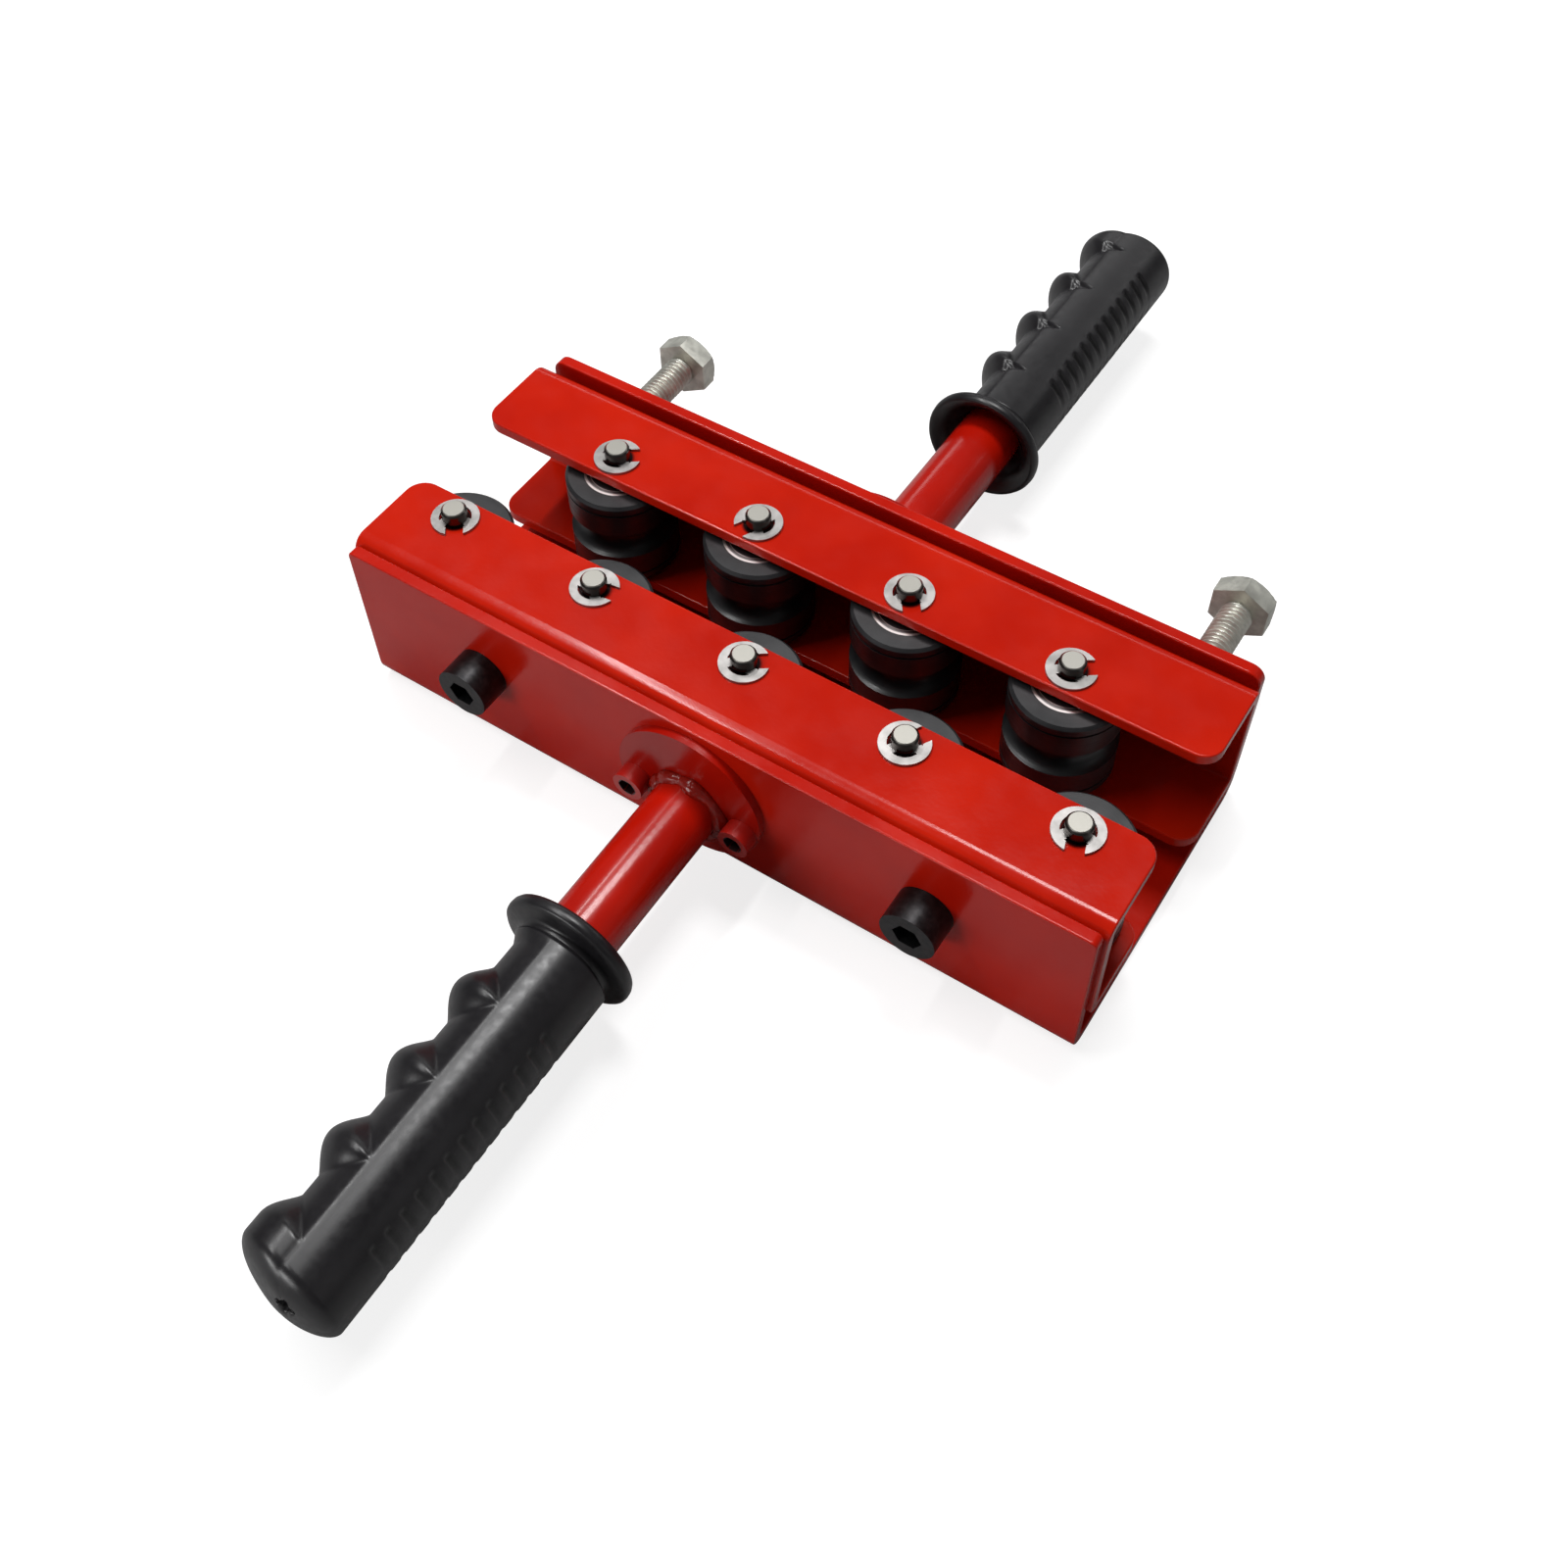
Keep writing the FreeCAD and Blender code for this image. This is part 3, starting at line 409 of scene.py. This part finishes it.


# ---------------------------------------------------------------------------
# Nine bright turned pins carry the rollers. Each has a spring steel E-clip at
# both ends, and washers between the roller and the flanges. The pins' sides
# are coloured dark, and their end faces paler and duller.

def bright_steel(name, marks, depth, **sockets):
    """Turned bright steel, with rings across the axis in the light."""
    finish, shader = new_finish(name, Metallic=1.0, **sockets)
    relief(finish, shader, grain(finish, marks, 2.0, (0.04, 0.04, 1.0)), depth, 0.6)
    return finish, shader


pin_steel, pin_shader = bright_steel("turned_pin_steel", 0.00035, 0.00002)
pin_foot, pin_top = (corner[2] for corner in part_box("front_pins"))
pin_half = (pin_top - pin_foot) / 2
face_starts, face_whole = pin_half - 0.0003, pin_half - 0.0001
dark_side, faced_end = (0.09, 0.08, 0.075), (0.34, 0.33, 0.30)
from_middle = reckon(pin_steel, "SUBTRACT", own_place(pin_steel)["Z"], (pin_foot + pin_top) / 2)
off_middle = reckon(pin_steel, "ABSOLUTE", from_middle)
end_face = span(pin_steel, off_middle, 0.0, 1.0, face_starts, face_whole)
tint(pin_steel, pin_shader, end_face, dark_side, faced_end)
satin(pin_steel, pin_shader, end_face, 0.24, 0.46, 0.0, 1.0)
wear(pin_steel, "front_pins", "rear_pins", "front_spacers", "rear_spacers", "front_washers",
     "rear_washers")

clip_steel, clip_shader = bright_steel("spring_clip_steel", 0.0009, 0.00001, Roughness=0.44)
clouds(clip_steel, clip_shader, 0.004, 3.0, (0.28, 0.27, 0.26), (0.44, 0.42, 0.41))
wear(clip_steel, "front_clips", "rear_clips", "left_bolt_clip", "right_bolt_clip")


# ---------------------------------------------------------------------------
# Nine grooved rollers in two staggered rows: turned steel, blackened, with fine
# tool rings, and a shielded ball bearing pressed into each end.

def roller_black(name, centre):
    """Blackened turned steel: rings stacked along the axis on the sides, about it on the ends."""
    end_rings = 2600.0
    finish, shader = new_finish(name, Metallic=0.10)
    clouds(finish, shader, 0.006, 3.0, (0.0110, 0.0110, 0.0125), (0.0230, 0.0230, 0.0250))
    sides = grain(finish, 0.00030, 2.0, (0.02, 0.02, 1.0))
    ends = finish.node_tree.nodes.new("ShaderNodeTexNoise")
    ends.noise_dimensions = "1D"
    ends.inputs["Scale"].default_value = end_rings
    finish.node_tree.links.new(off_axis(finish, centre, "Z"), ends.inputs["W"])
    relief(finish, shader, reckon(finish, "ADD", sides, ends.outputs["Fac"]), 0.00002, 0.5)
    satin(finish, shader, sides, 0.30, 0.45)
    return finish


def ring_steel(name, centre):
    """Bearing steel: a painted highlight on the chamfer round the edge, a duller ground face, a
    painted highlight line where it meets the shield in the ring's bore, and the grey pressed
    shield."""
    finish, shader = new_finish(name, Metallic=1.0, Roughness=0.34)
    tree = finish.node_tree
    ring_edge, ring_bore = 0.0085, 0.0070
    # The bright tone is a painted highlight, laid in narrow bands on the chamfer and at the bore's
    # edge.
    ground, bright = (0.20, 0.20, 0.20, 1.0), (0.80, 0.80, 0.78, 1.0)
    shield = (0.12, 0.12, 0.125, 1.0)
    bands = tree.nodes.new("ShaderNodeValToRGB")
    tones = bands.color_ramp.elements
    tones[0].position, tones[0].color = 0.0, shield
    tones[1].position, tones[1].color = 1.0, bright
    for reach, tone in ((ring_bore - 0.0002, shield), (ring_bore, bright),
                        (ring_bore + 0.00025, ground), (ring_edge - 0.0007, ground),
                        (ring_edge - 0.0005, bright)):
        tones.new(reach / ring_edge).color = tone
    reach_share = span(finish, off_axis(finish, centre, "Z"), 0.0, 1.0, 0.0, ring_edge)
    tree.links.new(reach_share, bands.inputs["Fac"])
    tree.links.new(bands.outputs["Color"], shader.inputs["Base Color"])
    relief(finish, shader, grain(finish, 0.0008, 3.0), 0.00001, 0.5)
    return finish


ball_steel, ball_shader = new_finish("bearing_ball_steel", Metallic=1.0, Roughness=0.10)
clouds(ball_steel, ball_shader, 0.002, 2.0, (0.60, 0.60, 0.60), (0.70, 0.70, 0.70))
inner_steel, inner_shader = bright_steel("bearing_ring_steel", 0.0004, 0.00001, Roughness=0.18)
clouds(inner_steel, inner_shader, 0.004, 3.0, (0.50, 0.50, 0.50), (0.66, 0.66, 0.65))
wear(inner_steel, "front_inner_rings", "rear_inner_rings")
for row, count in (("front", 5), ("rear", 4)):
    for number in range(1, count + 1):
        roller = "%s_roller_%d" % (row, number)
        centre = tuple(np.mean(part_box(roller), axis=0))
        wear(roller_black(roller + "_black", centre), roller)
        wear(ring_steel(roller + "_ring_steel", centre), roller + "_outer_rings")
        wear(ball_steel, roller + "_balls")


# ---------------------------------------------------------------------------
# Two M8 hexagon bolts press on the rear carriage through nuts welded behind
# the wall. They are rolled steel, bright zinc plated, with the thread all along
# the shank, a clip's groove near the tip and a thirty degree chamfer on the head.

def hexagon(turn, half_width):
    """Distance from the middle to the side of a hexagon, in each direction round it."""
    within = (turn + np.pi / 6) % (np.pi / 3) - np.pi / 6
    return half_width / np.cos(within)


def threaded_bolt(name, node):
    """A bolt as one skin from the middle of its head to its tip. The head's rows follow the
    hexagon, cut by a cone at the top face. The shank's rows follow a helix: the radius falls and
    rises once a pitch along the axis, and a full turn round the shank carries that wave one pitch
    on."""
    low, high = (np.array(corner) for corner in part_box(node))
    middle = (low + high) / 2
    points_around, rows_of_thread = 96, 240
    half_width, head_height = 0.0070, 0.0053
    top_share, cone_share, foot_share = 0.96, 0.965, 0.985
    below_cone, above_foot = 0.0024, 0.0003
    pitch, crest, root = 0.00125, 0.00398, 0.00332
    flank_slope, root_flat = 1.35, 0.15
    lead_in, run_out, last_share = 0.0008, 0.0006, 0.15
    journal, neck = 0.0030, 0.0025
    shoulder, groove_top, groove_foot, tip_chamfer = 0.0063, 0.0032, 0.0024, 0.0004
    inset, fillet, cone_slope = 0.00003, 0.0006, 1.75
    turn = np.linspace(0.0, 2 * np.pi, points_around, endpoint=False)
    top = high[1]
    flat = np.full_like(turn, half_width * top_share)
    sides = hexagon(turn, half_width - inset)
    rows = [(top, flat * 0.30), (top, flat * 0.70), (top, flat)]
    for fall in (0.00015, 0.0004, 0.0008, 0.0014):
        rows.append((top - fall, np.minimum(sides, half_width * cone_share + fall * cone_slope)))
    shank_top = top - head_height
    rows += [(top - below_cone, sides), (shank_top + above_foot, sides),
             (shank_top, sides * foot_share), (shank_top, np.full_like(turn, crest + fillet))]
    steps = np.linspace(0.0, shank_top - low[1] - shoulder, rows_of_thread)
    for step in steps:
        wave = (step / pitch - turn / (2 * np.pi)) % 1.0
        depth = np.clip(np.abs(wave * 2 - 1) * flank_slope - root_flat, 0.0, 1.0)
        ease = min(1.0, step / lead_in, (steps[-1] - step) / run_out + last_share)
        rows.append((shank_top - step, root + (crest - root) * depth * max(ease, 0.0)))
    tip = ((shoulder, journal), (groove_top, journal), (groove_top, neck), (groove_foot, neck),
           (groove_foot, journal), (tip_chamfer, journal), (0.0, journal - tip_chamfer))
    rows += [(low[1] + rise, np.full_like(turn, radius)) for rise, radius in tip]
    heights = np.array([row[0] for row in rows])[:, None] * np.ones_like(turn)
    radii = np.array([row[1] for row in rows])
    grid = np.stack([middle[0] + radii * np.cos(turn), heights, middle[2] + radii * np.sin(turn)],
                    axis=-1)
    piece = sheet_mesh(name, grid, True)
    piece.modifiers.new("edges", "EDGE_SPLIT").split_angle = math.radians(38)
    return piece


zinc, zinc_shader = new_finish("bright_zinc_plate", Metallic=0.75)
clouds(zinc, zinc_shader, 0.0035, 4.0, (0.50, 0.50, 0.45), (0.72, 0.72, 0.65))
satin(zinc, zinc_shader, grain(zinc, 0.0012, 3.0), 0.36, 0.50)
relief(zinc, zinc_shader, grain(zinc, 0.0006, 3.0), 0.00002, 0.5)
wear(zinc, "adjusting_nuts")
for side in ("left", "right"):
    bolt = threaded_bolt(side + "_threaded_bolt", side + "_bolt")
    bolt.data.materials.append(zinc)
    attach(bolt, side + "_bolt")
    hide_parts(side + "_bolt")


# ---------------------------------------------------------------------------
# A black moulded grip is pushed over each tube: a flared guard at the mouth,
# four swells for the fingers that run out in points on a crease along the top,
# a round palm side with fine ribs, and a closed end with a vent in it.

grip_length = 0.090
body_start = 0.0062
points_around, rows_of_body, rows_of_dome = 160, 215, 38
dome_foot, dome_sooner, dome_turn = 0.0840, 0.0016, math.radians(80)
plain_power, finger_power, square_power = 1.15, 0.2, 0.45
end_lean, end_round = 0.11, 0.003
palm_radius, palm_shift = 0.0117, 0.0006
hollow_radius, swell_radius = 0.0095, 0.0135
finger_swells, finger_pitch, swell_half = 4, 0.0189, 0.0074
hollow_power, ridge_power = 2.6, 4
point_power, point_round, swell_round, thinnest = 2.2, 0.8, 1.2, 1e-6
full_shape_from, full_shape_over = 0.0050, 0.0040
crease = math.radians(84.375)
dent_root, dent_tip = math.radians(73), math.radians(106)
dent_root_over = 0.05
dent_half, dent_edge, dent_depth = 0.0022, 0.0005, 0.0009
slot_first, slot_pitch, slot_depth = 0.0225, 0.0042, 0.00042
slots_from, slots_to, slots_taper = 0.0200, 0.0742, 0.001
slot_sharpness, slot_cut = 2.2, 0.5
slot_edge, slot_edge_over = math.radians(137), math.radians(4)
slot_end, slot_end_over = math.radians(178), math.radians(24)
vent_aside, vent_above, vent_notch = -0.0022, 0.0040, 0.20
vent_radii = np.array([0.0020, 0.0017, 0.0016, 0.0005])[:, None]
vent_depths = np.array([0.0, 0.0004, 0.0030, 0.0032])[:, None]
# The mouth and its guard, from inside the bore to the body: how far out and how far off the middle.
millimetre = 0.001
mouth = millimetre * np.array([
    (9.0, 8.15), (6.0, 8.2), (5.2, 8.7), (4.4, 10.4), (3.0, 11.0), (1.6, 12.4), (0.5, 14.2),
    (0.35, 14.7), (0.55, 15.15), (1.2, 15.48), (2.2, 15.58), (2.9, 15.45), (3.3, 15.0),
    (3.6, 13.8), (4.0, 12.0), (4.4, 10.9), (5.2, 10.7), (5.55, 10.75), (5.7, 11.1)])


def from_fingers(angle):
    """How far round the grip a direction is from the finger side, up to half a turn either way."""
    return np.abs((angle + np.pi) % (2 * np.pi) - np.pi)


def palm_circle(bend):
    """Radius, in each direction, of a circle whose middle lies a little off the tube's."""
    half_chord = np.sqrt(palm_radius ** 2 - (palm_shift * np.sin(bend)) ** 2)
    return -palm_shift * np.cos(bend) + half_chord


def grip_radius(out, angle, finger_first, slant, dented):
    """Radius of the grip's body. The palm side is a circle. From the crease to the finger side the
    radius falls to the hollow as a power of the angle. Each swell is a rounded wave along the grip,
    whose height above the hollow and whose width both run out at the crease, and which slants a
    little on its way there. Beyond the last one the grip keeps its full size. On one of its two
    sides a three cornered dent points to the palm where each swell meets the crease."""
    bend = from_fingers(angle)
    palm, rim = palm_circle(bend), palm_circle(crease)
    part = np.clip(bend / crease, 0.0, 1.0)
    hollow = hollow_radius + (rim - hollow_radius) * part ** hollow_power
    ridge = rim + (swell_radius - rim) * (1 - part ** ridge_power)
    wide = swell_half * (1 - part ** point_power) ** point_round + thinnest
    rise = np.zeros_like(out * bend)
    for i in range(finger_swells):
        middle = finger_first + i * finger_pitch + slant * part ** 2
        off = np.clip(np.abs(out - middle) / wide, 0.0, 1.0)
        rise = np.maximum(rise, np.cos(off * np.pi / 2) ** swell_round)
    last_middle = middle
    rise = np.where(out > last_middle, 1.0, rise)
    start = np.clip((out - full_shape_from) / full_shape_over, 0.0, 1.0)
    start = start * start * (3 - 2 * start)
    finger = palm + (hollow + (ridge - hollow) * rise - palm) * start
    body = np.where(bend < crease, finger, palm)
    along_pitch = (out - finger_first - slant + finger_pitch / 2) % finger_pitch
    from_swell = np.abs(along_pitch - finger_pitch / 2)
    narrowing = dent_half * np.clip((dent_tip - bend) / (dent_tip - dent_root), 0.0, 1.0)
    within = np.clip((narrowing - from_swell) / dent_edge, 0.0, 1.0)
    past_root = np.clip((bend - dent_root) / dent_root_over, 0.0, 1.0)
    return body - dent_depth * (within * past_root) * (np.sin(angle) * dented > 0)


def palm_slots(out, angle):
    """How deep, from nought to one, the slots between the ribs are: waves along the grip with their
    tops and bottoms cut off, which start sharply beside the palm and run out on its back."""
    bend = from_fingers(angle)
    turns = (out - slot_first) / slot_pitch
    wave = np.clip(np.cos(turns * 2 * np.pi) * slot_sharpness - slot_cut, 0.0, 1.0)
    start = np.clip((bend - slot_edge) / slot_edge_over, 0.0, 1.0)
    runout = np.clip((slot_end - bend) / slot_end_over, 0.0, 1.0)
    after_first = np.clip((out - slots_from) / slots_taper, 0.0, 1.0)
    before_last = np.clip((slots_to - out) / slots_taper, 0.0, 1.0)
    return wave * start * runout * (after_first * before_last)


def end_slope(top):
    """How far the closed end leans back at a height: nothing below the middle, then a steady slope,
    with a round change between them."""
    return end_lean * (top + np.sqrt(top ** 2 + end_round ** 2))


def moulded_grip(name, node, outward, turned, finger_first, slant):
    """The whole grip as one skin: the rows of its mouth and guard, then rows out along the body,
    then a dome that draws the last section in to the vent. The dome starts sooner on the finger
    side and is squarer above and below. The vent lies a little to the palm and above the middle,
    where the end leans back. Angle nought is the finger side, a quarter turn the top."""
    low, high = (np.array(corner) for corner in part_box(node))
    start = high[1] if outward < 0 else low[1]
    height = (low[2] + high[2]) / 2
    angle = np.linspace(0.0, 2 * np.pi, points_around, endpoint=False)[None, :]
    guard_out = mouth[:, :1] * np.ones_like(angle)
    guard_radius = mouth[:, 1:] * np.ones_like(angle)
    dome_start = dome_foot - dome_sooner * np.cos(angle)
    body_share = np.linspace(0.0, 1.0, rows_of_body)[:, None]
    body_out = body_start + (dome_start - body_start) * body_share
    slots = palm_slots(body_out, angle)
    body = grip_radius(body_out, angle, finger_first, slant, outward)
    radius = np.vstack([guard_radius, body - slot_depth * slots])
    finger, top = radius * np.cos(angle), radius * np.sin(angle)
    turn_in = np.linspace(0.0, 1.0, rows_of_dome)[1:, None] * dome_turn
    dome_power = plain_power + finger_power * np.cos(angle) - square_power * np.sin(angle) ** 2
    scale = np.cos(turn_in) ** dome_power
    dome_finger = vent_aside + scale * (finger[-1] - vent_aside)
    dome_top = vent_above + scale * (top[-1] - vent_above)
    dome_out = dome_start + (grip_length - end_slope(dome_top) - dome_start) * np.sin(turn_in)
    vent_radius = vent_radii * (1 + vent_notch * np.cos(4 * angle))
    vent_finger = vent_aside + vent_radius * np.cos(angle)
    vent_top = vent_above + vent_radius * np.sin(angle)
    vent_out = grip_length - end_slope(vent_top) - vent_depths
    out = np.vstack([guard_out, body_out, dome_out, vent_out])
    finger = np.vstack([finger, dome_finger, vent_finger])
    top = np.vstack([top, dome_top, vent_top])
    lean = math.radians(turned)
    grid = np.stack([-(finger * math.cos(lean) - top * math.sin(lean)), start + outward * out,
                     height + finger * math.sin(lean) + top * math.cos(lean)], axis=-1)
    piece = sheet_mesh(name, grid, True, flip=outward > 0)
    # The slots' depths are kept on the mesh for the painted shade in the slots.
    depths = np.zeros(len(piece.data.vertices))
    depths[guard_out.size:guard_out.size + slots.size] = slots.ravel()
    piece.data.attributes.new("slot_shade_share", "FLOAT", "POINT").data.foreach_set("value", depths)
    return piece


grip_rubber, grip_shader = new_finish("black_grip_moulding", Specular_IOR_Level=0.45)
clouds(grip_rubber, grip_shader, 0.010, 3.0, (0.0070, 0.0063, 0.0076), (0.0115, 0.0106, 0.0121))
# Painted shade: the slots between the palm ribs are coloured darker than the moulding.
painted_slot_shade = grip_rubber.node_tree.nodes.new("ShaderNodeAttribute")
painted_slot_shade.attribute_name = "slot_shade_share"
lay_over(grip_rubber, grip_shader, painted_slot_shade.outputs["Fac"], (0.0014, 0.0013, 0.0014))
satin(grip_rubber, grip_shader, grain(grip_rubber, 0.0015, 3.0), 0.30, 0.38)
relief(grip_rubber, grip_shader, grain(grip_rubber, 0.0005, 3.0), 0.00001, 0.4)
for side, outward, turned, finger_first, slant in (("front", -1, 8.0, 0.0222, 0.0012),
                                                   ("rear", 1, -8.0, 0.0270, -0.0065)):
    grip = moulded_grip(side + "_moulded_grip", side + "_handle_grip", outward, turned,
                        finger_first, slant)
    grip.data.materials.append(grip_rubber)
    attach(grip, "frame")
    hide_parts(side + "_handle_grip")
